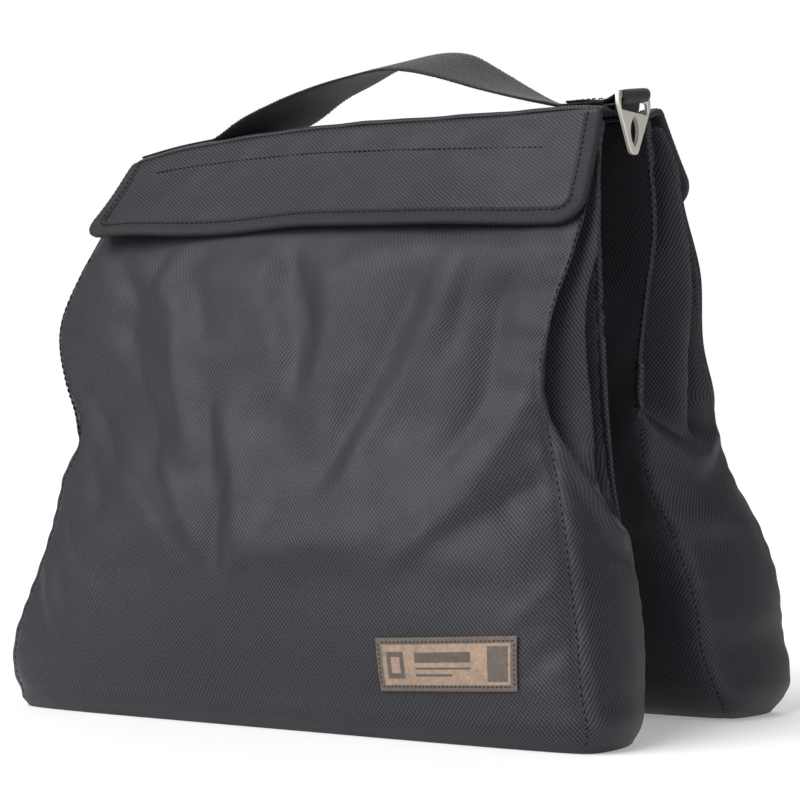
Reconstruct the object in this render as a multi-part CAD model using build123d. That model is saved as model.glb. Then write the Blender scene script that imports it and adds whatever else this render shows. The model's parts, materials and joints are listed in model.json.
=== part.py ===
"""Refillable saddle sandbag: two gusseted fabric pouches hang from one bridge, each with a bound flap over
its mouth and a tied liner of sand inside; a webbing handle and a steel hanger ring sit on the bridge.

Frame: origin at the centre of the footprint on the floor, +X along the bridge towards the hanger ring,
+Y towards the rear pouch, +Z up. Millimetres.
"""

from build123d import *
from math import acos, atan2, cos, hypot, pi, radians, sin, sqrt
import os

# ---- driving dimensions ----
RIDGE_HEIGHT = 303.0  # top of the bridge fabric
RIDGE_Y = -22.0  # the soft bag stands with its ridge a little forward of the footprint's middle
BRIDGE_WIDTH = 40.0
TOP_WIDTH = 300.0  # length of the bridge and of each flap
BASE_WIDTH = 348.0
BASE_INNER_Y = 38.0  # inner foot of each pouch, from the middle of the footprint
BASE_OUTER_Y = 110.0  # outer foot
BULGE = 8.0  # how far each pouch swells past its feet
BULGE_HEIGHT = 66.0
BULGE_R = 60.0
SHOULDER_HEIGHT = 240.0  # the ends stand upright above this height
SHOULDER_R = 20.0
FOOT_R = 12.0
END_FOOT_R = 10.0
END_BEND_R = 50.0

FABRIC = 1.2
LINER = 0.6
EASE = 0.4  # clearance between layers that are not sewn together
SEAM_INSET = 10.0  # the end seams stand this far in from the ends of a pouch

FLAP_LENGTH = 65.0
FLAP_THICK = 2.4
FLAP_DROP = radians(59.0)  # slope of a closed flap below the horizontal
FLAP_CORNER = 15.0
BINDING_WIDTH = 9.0
BINDING_THICK = 3.4
BINDING_WALL = 0.8  # the tape where it folds round the flap's edge
TAPE_THICK = 1.4  # hook tape and loop tape
TAPE_HEIGHT = 25.0
TAPE_LENGTH = 250.0
TAPE_START = 27.0  # measured down the flap from its fold line

WEBBING_WIDTH = 38.0
WEBBING_THICK = 1.8
HANDLE_SPAN = 205.0  # between the points where the strap leaves the bridge
HANDLE_X = 14.0
HANDLE_RISE = 33.0
HANDLE_SPLIT = 12.0  # below this height the strap belongs to its sewn ends
HANDLE_GAP = 1.0
STRAP_END = 145.0  # the sewn ends stop here, from the middle of the bridge
HANDLE_STEPS = 12  # points that carry the arch's curve

TAB_WIDTH = 25.0
TAB_THICK = 1.6
TAB_START = 124.0
LOOP_X = 154.5
LOOP_RISE = 4.5  # centre of the loop above the bridge
LOOP_INNER_R = 2.9

RING_PLATE = 2.0
RING_EDGE_R = 0.4
RING_WIDTH = 32.0
RING_BAR = 3.6
RING_SLOT_WIDTH = 26.0
RING_SLOT_DEPTH = 5.8
RING_SHOULDER = 4.5  # below the hinge axis, where the sides start to close in
RING_LENGTH = 28.0  # from the hinge axis to the tip
RING_TIP_WIDTH = 6.4
RING_TIP_R = 3.0
RING_EYE_WIDTH = 8.2
RING_EYE_LENGTH = 15.3
RING_EYE_DROP = 16.8  # centre of the eye below the hinge axis

LINER_SHOULDER = 165.0
SAND_HEIGHT = 140.0
NECK_SIZE = 13.0
NECK_BASE = 200.0
NECK_HEIGHT = 8.0
TUFT_SIZE = 17.0
TUFT_HEIGHT = 20.0
TIE_HEIGHT = 4.0
TIE_THICK = 1.6

LABEL_LENGTH = 74.0
LABEL_HEIGHT = 25.0
LABEL_THICK = 1.2
LABEL_X = 107.0
LABEL_TILT = 3.0  # degrees, its right end up
LABEL_RISE = 38.0  # middle of the label, measured up the panel from the pouch's foot

# ---- worked out ----
HALF_TOP = TOP_WIDTH / 2
HALF_BASE = BASE_WIDTH / 2
HINGE_EASE = 1.6  # the fold lines stand this far outboard of the bridge
HINGE_Z = RIDGE_HEIGHT - FABRIC
FLAP_ROOT = 0.6  # the flap's root stands this far from its fold line
FLAP_STACK = FLAP_THICK / 2 + 2 * TAPE_THICK + EASE  # middle of the flap to the outer panel
POUCH_TOP = HINGE_Z - 6.5  # the panels end here, clear of the flap's root
INNER_ROOT = 0.2  # inner panel's face at the top, outboard of the fold line
MOUTH_EDGE = 22.0  # free edge of the outer panel, measured down the flap
SHOULDER_EDGE = 68.0  # where the outer panel leaves the slope of the flap
STRAP_TOP = RIDGE_HEIGHT + WEBBING_THICK
LOOP_Z = RIDGE_HEIGHT + LOOP_RISE
LOOP_OUTER_R = LOOP_INNER_R + TAB_THICK
FAR = 400.0  # further than any part of the object


def on_flap(along, above=0.0):
    """(outboard distance, height) of a point so far down a closed flap and so far above its middle."""
    out = along * cos(FLAP_DROP) + above * sin(FLAP_DROP)
    return out, HINGE_Z - along * sin(FLAP_DROP) + above * cos(FLAP_DROP)


def between(low, high, height):
    """Outboard distance, at a height, on the straight line through two (out, height) points."""
    return low[0] + (high[0] - low[0]) * (height - low[1]) / (high[1] - low[1])


class Side:
    """One half of the saddle: sign is -1 for the front pouch and +1 for the rear one."""

    def __init__(self, name, sign):
        self.name = name
        self.sign = sign
        self.hinge_y = RIDGE_Y + sign * (BRIDGE_WIDTH / 2 + HINGE_EASE)
        self.inner_foot = BASE_INNER_Y - sign * self.hinge_y
        self.outer_foot = BASE_OUTER_Y - sign * self.hinge_y
        self.inner_knee = (self.inner_foot - BULGE, BULGE_HEIGHT)
        self.outer_knee = (self.outer_foot + BULGE, BULGE_HEIGHT)
        # Local x runs outboard from the fold line and local y runs up.
        self.end = Plane(origin=(0, self.hinge_y, 0), x_dir=(0, sign, 0), z_dir=(sign, 0, 0))
        # Local x runs along the bridge, local y up the closed flap and local z out of it.
        self.flap = Plane(
            origin=(0, self.hinge_y, HINGE_Z),
            x_dir=(-sign, 0, 0),
            z_dir=(0, sign * sin(FLAP_DROP), cos(FLAP_DROP)),
        )

    def inner(self, height):
        return between(self.inner_knee, (INNER_ROOT, POUCH_TOP), height)

    def outer(self, height):
        return between(self.outer_knee, on_flap(SHOULDER_EDGE, -FLAP_STACK), height)

    def middle_y(self, height):
        return self.hinge_y + self.sign * (self.inner(height) + self.outer(height)) / 2


FRONT = Side("front", -1)
REAR = Side("rear", 1)


# ---- shared shapes ----
def outline(points, radii=None, inset=0.0):
    """A flat face with rounded corners, shrunk by inset."""
    face = make_face(Polyline(*points, close=True))
    for point, radius in zip(points, radii or []):
        if radius:
            corner = face.vertices().sort_by_distance((*point, 0))[0]
            face = fillet(corner, radius)
    return offset(face, -inset) if inset else face


def prism(face, plane, half_depth):
    """A flat face in a plane, thickened both ways."""
    return extrude(plane * face, amount=half_depth, both=True)


def below(height):
    """Everything under a level."""
    return Pos(0, 0, height - FAR) * Box(2 * FAR, 2 * FAR, 2 * FAR)


def end_outline(half_base, half_top, low, high):
    """The front outline of a pouch: wide at the bulge and upright above the shoulder."""
    right = [(half_base, low), (half_base, BULGE_HEIGHT), (half_top, SHOULDER_HEIGHT), (half_top, high)]
    return right + [(-x, z) for x, z in reversed(right)]


# ---- pouches ----
def pouch_volume(side, inset=0.0):
    """Everything within a pouch, shrunk by inset: its end profile and its front outline together."""
    profile = [
        (INNER_ROOT, POUCH_TOP),
        side.inner_knee,
        (side.inner_foot, 0.0),
        (side.outer_foot, 0.0),
        side.outer_knee,
        on_flap(SHOULDER_EDGE, -FLAP_STACK),
        on_flap(14.0, -FLAP_STACK),
        (2.0, POUCH_TOP),
    ]
    profile_radii = [0, 0, FOOT_R, FOOT_R, BULGE_R, SHOULDER_R, 0, 0]
    front_radii = [END_FOOT_R, END_BEND_R, END_BEND_R, 0]
    front_radii += front_radii[::-1]
    front = end_outline(HALF_BASE, HALF_TOP, 0.0, RIDGE_HEIGHT)
    ends = prism(outline(profile, profile_radii, inset), side.end, BASE_WIDTH)
    return ends & prism(outline(front, front_radii, inset), Plane.XZ, BASE_WIDTH)


def mouth(side):
    """The slot above the outer panel's free edge, where the liner goes in."""
    inner_face = side.inner(POUCH_TOP) + FABRIC
    slot = [
        (side.inner(SHOULDER_HEIGHT) + FABRIC, SHOULDER_HEIGHT),
        on_flap(MOUTH_EDGE, -FLAP_STACK - 2 * FABRIC),
        on_flap(MOUTH_EDGE, FABRIC),
        on_flap(0.0, FABRIC),
        (inner_face, RIDGE_HEIGHT),
        (inner_face, POUCH_TOP),
    ]
    return prism(outline(slot), side.end, BASE_WIDTH)


def pouch_fabric(side):
    """The wrap, of outer, bottom and inner panels in one piece, and the two end gussets sewn to it."""
    shell = pouch_volume(side) - pouch_volume(side, FABRIC) - mouth(side)
    seams = end_outline(HALF_BASE - SEAM_INSET, HALF_TOP - SEAM_INSET, -FABRIC, RIDGE_HEIGHT)
    middle = prism(outline(seams), Plane.XZ, BASE_WIDTH)
    right = Pos(FAR, 0, 0) * Box(2 * FAR, 2 * FAR, 2 * FAR)
    ends = shell - middle
    return {
        side.name + "_pouch_wrap": shell & middle,
        side.name + "_left_gusset": ends - right,
        side.name + "_right_gusset": ends & right,
    }


def square_at(side, height, size):
    """A rounded square in the middle of a pouch at a height."""
    return Pos(0, side.middle_y(height), height) * RectangleRounded(size, size, size / 4)


def liner_volume(side, inset):
    """The liner's filled body and the slope that gathers it into the neck, shrunk by inset."""
    shoulder = LINER_SHOULDER - inset
    body = pouch_volume(side, FABRIC + EASE + inset) & below(shoulder)
    depth = side.outer(shoulder) - side.inner(shoulder) - 2 * (FABRIC + EASE + inset + 1.0)
    length = 2 * (HALF_TOP - FABRIC - EASE - inset)
    wide = Pos(0, side.middle_y(shoulder), shoulder) * RectangleRounded(length, depth, 8.0)
    return body + loft([wide.face(), square_at(side, NECK_BASE, NECK_SIZE - inset).face()])


def liner(side):
    """The tied liner bag, its sand and the tie round its gathered neck."""
    neck_top = NECK_BASE + NECK_HEIGHT
    neck = loft([square_at(side, z, NECK_SIZE).face() for z in (NECK_BASE, neck_top)])
    tuft_top = square_at(side, neck_top + TUFT_HEIGHT, TUFT_SIZE)
    tuft = loft([square_at(side, neck_top, NECK_SIZE).face(), tuft_top.face()])
    bag = liner_volume(side, 0.0) - liner_volume(side, LINER) + neck + tuft
    sand = pouch_volume(side, FABRIC + EASE + LINER) & below(SAND_HEIGHT)
    tie_middle = NECK_BASE + NECK_HEIGHT / 2
    wide = square_at(side, tie_middle - TIE_HEIGHT / 2, NECK_SIZE + 2 * TIE_THICK)
    tie = extrude(wide, amount=TIE_HEIGHT) - neck - bag
    return {
        side.name + "_liner_bag": bag,
        side.name + "_sand_fill": sand,
        side.name + "_liner_tie": tie,
    }


# ---- flaps ----
def flap_outline(inset):
    """A closed flap in its own plane, with its two lower corners rounded; its root edge stays put."""
    half = HALF_TOP - inset
    foot = -FLAP_LENGTH + inset
    points = [(-half, -FLAP_ROOT), (half, -FLAP_ROOT), (half, foot), (-half, foot)]
    radius = max(FLAP_CORNER - inset, 1.0)
    return outline(points, [0, 0, radius, radius])


def flap(side):
    """The flap, the tape that binds three of its edges, and the hook tape under it."""
    panel = prism(flap_outline(BINDING_WALL), side.flap, FLAP_THICK / 2)
    edge = flap_outline(0.0) - flap_outline(BINDING_WIDTH)
    return {
        side.name + "_flap_panel": panel,
        side.name + "_flap_binding": prism(edge, side.flap, BINDING_THICK / 2) - panel,
        side.name + "_hook_tape": fastening_tape(side, -FLAP_THICK / 2),
        side.name + "_loop_tape": fastening_tape(side, -FLAP_STACK + TAPE_THICK),
    }


def fastening_tape(side, top):
    """One half of the hook-and-loop closure, with its upper face so far above the flap's middle."""
    tape = Pos(0, -TAPE_START - TAPE_HEIGHT / 2, top - TAPE_THICK / 2) * Box(
        TAPE_LENGTH, TAPE_HEIGHT, TAPE_THICK
    )
    return side.flap * tape


# ---- bridge, handle and ring ----
def saddle_bridge():
    return Pos(0, RIDGE_Y, RIDGE_HEIGHT - FABRIC / 2) * Box(TOP_WIDTH, BRIDGE_WIDTH, FABRIC)


def arch_height(x):
    """The underside of the strap above the bridge, so far along from the arch's middle."""
    return HANDLE_RISE * cos(pi * x / HANDLE_SPAN) ** 2


def arch_slope(x):
    return -HANDLE_RISE * pi / HANDLE_SPAN * sin(2 * pi * x / HANDLE_SPAN)


def strap_curve(thickness):
    """The strap's lower face, or its upper one, from foot to foot."""
    points = []
    for step in range(HANDLE_STEPS + 1):
        x = HANDLE_SPAN * (step / HANDLE_STEPS - 0.5)
        slope = arch_slope(x)
        along = hypot(1.0, slope)
        points.append((HANDLE_X + x - thickness * slope / along, arch_height(x) + thickness / along))
    return Spline(*points, tangents=[(1, 0), (1, 0)])


def handle():
    """The strap: its raised middle, and its two ends that lie on the bridge as far as STRAP_END."""
    lower = strap_curve(0.0)
    upper = strap_curve(WEBBING_THICK)
    ends = [Line(lower @ t, upper @ t) for t in (0, 1)]
    bridge_top = Plane(origin=(0, RIDGE_Y, RIDGE_HEIGHT), x_dir=(1, 0, 0), z_dir=(0, -1, 0))
    arch = prism(make_face([lower, upper, *ends]), bridge_top, WEBBING_WIDTH / 2)
    split = HANDLE_SPAN / pi * acos(sqrt(HANDLE_SPLIT / HANDLE_RISE))
    window = Pos(HANDLE_X, 0, 0) * Box(2 * split, 2 * FAR, 2 * FAR)
    gap = Pos(HANDLE_X, 0, 0) * Box(2 * (split + HANDLE_GAP), 2 * FAR, 2 * FAR)
    pieces = {"handle_strap": arch & window}
    for name, sign in (("left", -1), ("right", 1)):
        foot = HANDLE_X + sign * HANDLE_SPAN / 2
        length = STRAP_END - sign * foot
        middle = foot + sign * length / 2
        flat = Pos(middle, RIDGE_Y, STRAP_TOP - WEBBING_THICK / 2) * Box(length, WEBBING_WIDTH, WEBBING_THICK)
        rise = (arch - gap) & (Pos(HANDLE_X + sign * FAR, 0, 0) * Box(2 * FAR, 2 * FAR, 2 * FAR))
        pieces["handle_" + name + "_end"] = flat + rise
    return pieces


def ring_tab():
    """Webbing folded round the ring's bar and sewn down on the end of the strap."""
    side_plane = Plane(origin=(0, RIDGE_Y, 0), x_dir=(1, 0, 0), z_dir=(0, -1, 0))
    stack_end = LOOP_X - 2 * LOOP_OUTER_R
    stack_top = STRAP_TOP + 2 * TAB_THICK
    stack = Polyline(
        (TAB_START, STRAP_TOP), (stack_end, STRAP_TOP), (stack_end, stack_top), (TAB_START, stack_top), close=True
    )
    loop = Pos(LOOP_X, LOOP_Z) * Circle(LOOP_OUTER_R)
    throat = Line((stack_end, STRAP_TOP), (stack_end, stack_top))
    drop = make_hull(loop.edges() + ShapeList([throat]))
    section = make_face(stack) + drop - Pos(LOOP_X, LOOP_Z) * Circle(LOOP_INNER_R)
    return prism(section, side_plane, TAB_WIDTH / 2)


def hanger_ring():
    """A flat steel ring that hangs from its top bar: a slot for the tab above an eye for a hook."""
    plate_plane = Plane(origin=(LOOP_X, RIDGE_Y, LOOP_Z), x_dir=(0, 1, 0), z_dir=(1, 0, 0))
    half = RING_WIDTH / 2
    tip = RING_TIP_WIDTH / 2
    top = RING_BAR / 2
    points = [
        (-half, top),
        (half, top),
        (half, -RING_SHOULDER),
        (tip, -RING_LENGTH),
        (-tip, -RING_LENGTH),
        (-half, -RING_SHOULDER),
    ]
    plate = outline(points, [2.5, 2.5, 8.0, RING_TIP_R, RING_TIP_R, 8.0])
    slot = Pos(0, -top - RING_SLOT_DEPTH / 2) * RectangleRounded(RING_SLOT_WIDTH, RING_SLOT_DEPTH, 1.5)
    # The eye is pointed at both ends: two arcs that cross.
    arc_r = (RING_EYE_LENGTH**2 / 4 + RING_EYE_WIDTH**2 / 4) / RING_EYE_WIDTH
    aside = arc_r - RING_EYE_WIDTH / 2
    eye = Pos(-aside, -RING_EYE_DROP) * Circle(arc_r) & Pos(aside, -RING_EYE_DROP) * Circle(arc_r)
    ring = prism(plate - slot, plate_plane, RING_PLATE / 2)
    rims = ring.edges().group_by(Axis.X)[0] + ring.edges().group_by(Axis.X)[-1]
    return fillet(rims, RING_EDGE_R) - prism(eye, plate_plane, RING_PLATE)


def label_patch():
    """A woven label sewn low on the right of the front pouch."""
    foot_y = FRONT.hinge_y - FRONT.outer_foot
    lean = atan2(BULGE, BULGE_HEIGHT)
    panel = Plane(origin=(0, foot_y, 0), x_dir=(1, 0, 0), z_dir=(0, -cos(lean), -sin(lean)))
    patch = Box(LABEL_LENGTH, LABEL_HEIGHT, LABEL_THICK)
    return panel * Pos(LABEL_X, LABEL_RISE, LABEL_THICK / 2) * Rot(0, 0, LABEL_TILT) * patch


def write(shape, name):
    """One file for each piece, named after it."""
    shape.label = name
    export_step(shape, os.path.join("parts", name + ".step"))


def main():
    os.makedirs("parts", exist_ok=True)
    pieces = {"saddle_bridge": saddle_bridge(), "ring_tab": ring_tab(), "hanger_ring": hanger_ring()}
    pieces.update(handle())
    pieces["label_patch"] = label_patch()
    for side in (FRONT, REAR):
        pieces.update(pouch_fabric(side))
        pieces.update(liner(side))
        pieces.update(flap(side))
    for name, shape in pieces.items():
        write(shape, name)


main()
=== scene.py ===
"""Looks for the saddle sandbag: soft pouches, bound flaps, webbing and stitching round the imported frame.

Sizes are millimetres in the row frame: +X along the bridge, +Y to the rear pouch, +Z up.
"""

import json
import math

import bmesh
import bpy
import numpy as np
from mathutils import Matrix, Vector
from mathutils.bvhtree import BVHTree
from mathutils.noise import noise


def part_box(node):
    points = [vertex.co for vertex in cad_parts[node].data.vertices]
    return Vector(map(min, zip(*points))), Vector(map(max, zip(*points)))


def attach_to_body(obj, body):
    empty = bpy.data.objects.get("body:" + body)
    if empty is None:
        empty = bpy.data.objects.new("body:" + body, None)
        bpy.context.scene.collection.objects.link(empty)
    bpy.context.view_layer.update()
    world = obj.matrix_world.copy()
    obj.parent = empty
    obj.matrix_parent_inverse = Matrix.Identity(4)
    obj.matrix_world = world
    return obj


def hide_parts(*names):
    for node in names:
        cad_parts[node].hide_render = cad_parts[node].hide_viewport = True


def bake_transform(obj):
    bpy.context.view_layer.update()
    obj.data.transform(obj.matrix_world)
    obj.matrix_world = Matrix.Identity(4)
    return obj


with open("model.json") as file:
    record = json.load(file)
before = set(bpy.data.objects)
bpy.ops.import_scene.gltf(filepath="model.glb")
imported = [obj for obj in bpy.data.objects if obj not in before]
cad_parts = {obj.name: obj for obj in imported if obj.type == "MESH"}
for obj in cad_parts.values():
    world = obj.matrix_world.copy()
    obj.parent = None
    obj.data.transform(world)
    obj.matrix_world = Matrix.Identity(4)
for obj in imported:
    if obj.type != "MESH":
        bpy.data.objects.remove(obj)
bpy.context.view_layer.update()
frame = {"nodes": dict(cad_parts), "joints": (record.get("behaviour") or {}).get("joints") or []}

MM = 0.001
JOINTS = {joint["name"]: np.array(joint["pos_m"]) / MM for joint in frame["joints"]}


def cad(node):
    """Lowest and highest corner of a CAD node in millimetres."""
    low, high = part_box(node)
    return np.array(low) / MM, np.array(high) / MM


# ---- driving sizes ----
BRIDGE_LOW, BRIDGE_HIGH = cad("saddle_bridge")
HALF_TOP = BRIDGE_HIGH[0]
RIDGE_Y = (BRIDGE_LOW[1] + BRIDGE_HIGH[1]) / 2
RIDGE_Z = BRIDGE_HIGH[2]
LOOP_X, _, LOOP_Z = JOINTS["ring_swing"]

FABRIC = 1.2
FLAP_THICK = 2.4
FLAP_GAP = 5.2  # the outer panel lies this far behind the middle of the flap
FLAP_ROLL = 4.0  # radius of the fold where a flap turns down
FLAP_ROOT = 6.0  # the flap runs this far under the bridge
FLAP_CORNER = 15.0
FLAP_LENGTH = 65.0
FLAP_TRIM = 0.8  # the fabric stops this far inside the edge of its binding
EDGE_SEWING = 6.9  # how far in from the edge the binding is sewn
BINDING = 9.0
MOUTH = 281.0  # height of the outer panel's free edge
INNER_TOP = 300.0
TAPE_TOP = 27.0
TAPE_HEIGHT = 25.0
TAPE_HALF = 125.0
TAPE_THICK = 1.3
WEBBING = 38.0
WEBBING_THICK = 1.8
WEBBING_PITCH = 1.9
STRAP_STEP = 0.95
HALF_LABEL = (37.0, 12.5)
LABEL_TILT = math.radians(3.0)  # its right end sits higher
TAB_WIDTH = 25.0
TAB_THICK = 1.5
LOOP_LEAN = 0.17  # the loop's far edge is pulled up
STITCH_PITCH = 3.1
STITCH_LENGTH = 2.3
THREAD_R = 0.34
SEAM_DEPTH = 2.0  # the seams of a filled pouch pull in this far
SEAM_REACH = 3.2
LONG, SHORT = 66, 18  # a pouch's mesh: steps across a panel and across a gusset
CORNERS = np.cumsum([0, LONG, SHORT, LONG, SHORT])
FINE = 2  # steps of the finished mesh for each step of the cloth
LINER_STEPS = 96
TIE_R = 1.1
TIE_TURNS = 3
TIE_PITCH = 1.9
UP = np.array([0.0, 0.0, 1.0])

# Height of the ridge against the bridge's top: (x, rise).
RIDGE = [(-150, -6.5), (-118, -2.0), (-87, 0.3), (-23, 2.2), (31, 1.2), (91, -0.6), (150, -1.6)]

# The shape of each pouch and its flap. sign is the way from the ridge to the pouch, along Y.
# A seam (outer_left and so on) is a list of (height, x, y), and the middle of a panel one of (height, y).
# The flap's slope in degrees and its length down to the free edge are lists of (x, value).
# fold is a list of (x, where the flap turns down outboard of its hinge line, its rise to there).
# flare: how far the flap's left end runs outwards at its free edge. top: the height of each gusset's end.
# shelf: the height where a gusset's pleats end at its outer seam, and the change to its inner seam.
# swell: (height, how far a gusset bulges below the pleats). pleat and ridge: the pleats' depth and height.
FRONT = {
    "name": "front",
    "sign": -1,
    "outer_left": [
        (0, -171, -101), (4, -174, -103), (9, -173, -105), (15, -176, -106), (32, -178, -106),
        (60, -172, -101), (78, -166, -98), (96, -161, -95), (112, -159, -92), (122, -158, -90),
        (138, -152, -86), (155, -157, -82), (170, -165, -80), (204, -175, -75), (235, -165, -68),
        (254, -156, -62), (301, -149, -45),
    ],
    "outer_right": [
        (0, 173, -102), (7, 176, -105), (28, 173, -105), (59, 166, -98), (86, 159, -92), (118, 150, -86),
        (151, 141, -80), (173, 139, -77), (203, 142, -72), (230, 149, -67), (244, 150, -62), (301, 149, -45),
    ],
    "inner_right": [
        (0, 162, -41), (30, 166, -38), (66, 165, -37), (94, 160, -39), (118, 156, -41), (141, 154, -42),
        (184, 151, -43), (232, 149, -44), (301, 149, -44.4),
    ],
    "inner_left": [
        (0, -162, -41), (30, -170, -38), (66, -168, -37), (94, -163, -39), (141, -152, -42),
        (184, -156, -43), (232, -151, -44), (301, -149, -44.4),
    ],
    "outer_middle": [
        (0, -106), (7, -111), (20, -113), (40, -116), (66, -117), (110, -109), (150, -99), (200, -87),
        (241, -75), (301, -44),
    ],
    "inner_middle": [(0, -38), (30, -34), (66, -32), (120, -35), (200, -40), (301, -44.2)],
    "slope": [(-150, 51), (-90, 57), (0, 59), (90, 62), (150, 68)],
    "length": [(-150, 54.5), (-100, 60), (0, 62), (100, 62), (150, 60)],
    "fold": [(-150, -3, 0), (150, -3, 0)],
    "flare": 6.0,
    "top_left": 293.0,
    "top_right": 300.0,
    "shelf": (150.0, -55.0),
    "swell": [(0, 9), (8, 13), (25, 12.5), (60, 9.5), (110, 8), (160, 6)],
    "pleat": 18.0,
    "ridge": 6.0,
}
REAR = {
    "name": "rear",
    "sign": 1,
    "outer_left": [
        (0, -170, 106), (8, -174, 110), (44, -172, 114), (75, -168, 112), (101, -160, 100), (119, -154, 92),
        (145, -149, 81), (162, -151, 70), (190, -153, 56), (227, -154, 40), (260, -150, 26), (301, -149, 1),
    ],
    "outer_right": [
        (0, 165, 104), (8, 170, 109), (44, 168, 113), (75, 165, 111), (101, 160, 100), (119, 153, 92),
        (145, 148, 81), (162, 152, 70), (190, 152, 56), (227, 156, 45), (260, 150, 40), (301, 148, 26),
    ],
    "inner_right": [
        (0, 163, 58), (3, 166, 50), (9, 168, 42), (24, 165, 36), (37, 161, 34), (51, 160, 33), (66, 156, 34),
        (77, 152, 34), (91, 147, 32), (101, 145, 28), (110, 141, 25), (141, 135, 20), (171, 137, 16),
        (210, 145, 9), (242, 152, 5), (301, 150, 0.5),
    ],
    "inner_left": [
        (0, -163, 58), (3, -167, 50), (9, -170, 42), (24, -168, 37), (50, -163, 34), (83, -154, 32),
        (107, -147, 25), (141, -140, 20), (171, -142, 16), (210, -147, 9), (242, -151, 5), (301, -150, 0.5),
    ],
    "outer_middle": [
        (0, 107), (7, 112), (20, 114), (40, 117), (66, 117.5), (110, 99), (150, 78), (200, 54), (241, 31),
        (301, 0),
    ],
    "inner_middle": [(0, 56), (4, 45), (10, 38), (30, 33), (66, 31), (120, 24), (200, 13), (301, 0.2)],
    "slope": [(-150, 58), (-60, 60), (60, 58), (110, 54), (150, 50)],
    "length": [(-150, 63), (-60, 64), (70, 65), (150, 74)],
    "fold": [(-150, 4, 1), (-60, -2, 0), (50, 0, 0.5), (110, 8, 3), (150, 15, 6)],
    "flare": 2.0,
    "top_left": 293.0,
    "top_right": 303.0,
    "shelf": (152.0, 0.0),
    "swell": [(0, 5), (8, 8), (25, 9), (60, 9), (110, 8), (160, 6)],
    "pleat": 17.0,
    "ridge": 8.0,
}

# Folds of the panels: (rise, half width, points). A rise below zero is a valley.
FRONT_FOLDS = [
    (-3.2, 11.6, [(79, 238), (68, 214), (58, 190), (44, 151), (33, 127), (28, 108)]),
    (2, 10.2, [(97, 232), (84, 208), (65, 165), (50, 134), (37, 103)]),
    (-3.2, 10.2, [(124, 226), (113, 202), (109, 160), (98, 136), (83, 108)]),
    (2.8, 11.6, [(148, 226), (139, 196), (137, 173), (119, 132), (100, 104), (67, 75)]),
    (-2.8, 13, [(-10, 244), (-7, 215), (2, 188), (7, 158)]),
    (1.6, 8.7, [(-26, 240), (-24, 218), (-12, 190), (-2, 160)]),
    (1.5, 8.7, [(10, 240), (17, 215), (20, 190), (16, 158)]),
    (-2.5, 11.6, [(-86, 240), (-72, 222), (-61, 200), (-61, 186)]),
    (-2.9, 11.6, [(-56, 180), (-43, 147), (-33, 112), (-25, 82), (-30, 68)]),
    (2.8, 13, [(-122, 249), (-93, 223), (-78, 205), (-72, 173), (-60, 147), (-50, 122)]),
    (-2.5, 11.6, [(-121, 232), (-113, 200), (-99, 173), (-84, 152), (-76, 126), (-58, 100)]),
    (2.2, 13, [(-126, 155), (-109, 137), (-79, 109), (-36, 72)]),
    (-3.8, 11.6, [(-154, 180), (-135, 158), (-121, 142), (-103, 114)]),
    (-3, 10.2, [(-142, 139), (-123, 121), (-113, 98)]),
    (3, 11.6, [(-46, 164), (-28, 137), (-19, 102), (-22, 75)]),
    (2.2, 14.5, [(-34, 68), (-16, 82), (9, 86), (39, 91), (68, 75)]),
    (-4, 13, [(146, 124), (133, 117), (120, 108)]),
    (-1.4, 5, [(-168, 78), (-158, 55), (-146, 36)]),
    (1.2, 5, [(-160, 84), (-150, 62), (-136, 44)]),
    (-1.2, 5, [(168, 58), (156, 42), (143, 30)]),
    (1, 5, [(163, 84), (148, 66), (133, 52)]),
    (-1.5, 4.5, [(-143, 250), (-126, 232), (-111, 216), (-104, 196)]),
    (-1.3, 4.5, [(-95, 245), (-99, 229), (-110, 214)]),
    (-1.3, 4.5, [(-127, 147), (-87, 118), (-55, 91), (-29, 68)]),
    (1.2, 4.5, [(-90, 148), (-55, 109), (-29, 72)]),
    (-1.3, 4.5, [(-25, 134), (-30, 102), (-28, 68)]),
    (1.1, 5, [(150, 138), (121, 118), (96, 99), (70, 77)]),
    (-1.1, 4.5, [(100, 232), (95, 212), (92, 193), (86, 172)]),
    (-1.2, 4.5, [(-22, 240), (-4, 222), (8, 201), (15, 182)]),
    (1.3, 4.5, [(-150, 108), (-130, 84), (-114, 62), (-116, 36)]),
    (-1.2, 4.5, [(-158, 92), (-140, 70), (-132, 48)]),
]
REAR_FOLDS = [
    (-3, 13, [(-84, 238), (-70, 208), (-56, 170), (-46, 130)]),
    (2.5, 11.6, [(-104, 236), (-90, 200), (-74, 160), (-58, 112)]),
    (-3.2, 13, [(120, 232), (104, 200), (96, 166), (74, 120)]),
    (2.8, 13, [(142, 220), (128, 190), (118, 150), (92, 104)]),
    (-2.5, 13, [(16, 242), (10, 210), (-2, 176), (0, 140)]),
    (2, 10.2, [(36, 238), (28, 206), (16, 168), (12, 130)]),
    (-3, 11.6, [(-148, 172), (-128, 150), (-108, 118)]),
    (-2.8, 11.6, [(146, 160), (126, 140), (108, 112)]),
    (2.2, 14.5, [(-70, 88), (-30, 78), (24, 84), (70, 92)]),
    (2.2, 11.6, [(56, 176), (44, 140), (38, 104)]),
]

# The flap's second row of stitches, as (x, down the flap).
TAPE_SEWING = [(-150, 12), (0, 15.5), (150, 20)]

# Loops that close a pouch's base: (share of the way out from its middle line, texture height).
BASE_LOOPS = [(1.0, -60.0), (0.6, -36.0), (0.25, -15.0), (0.08, -5.0)]

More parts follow.
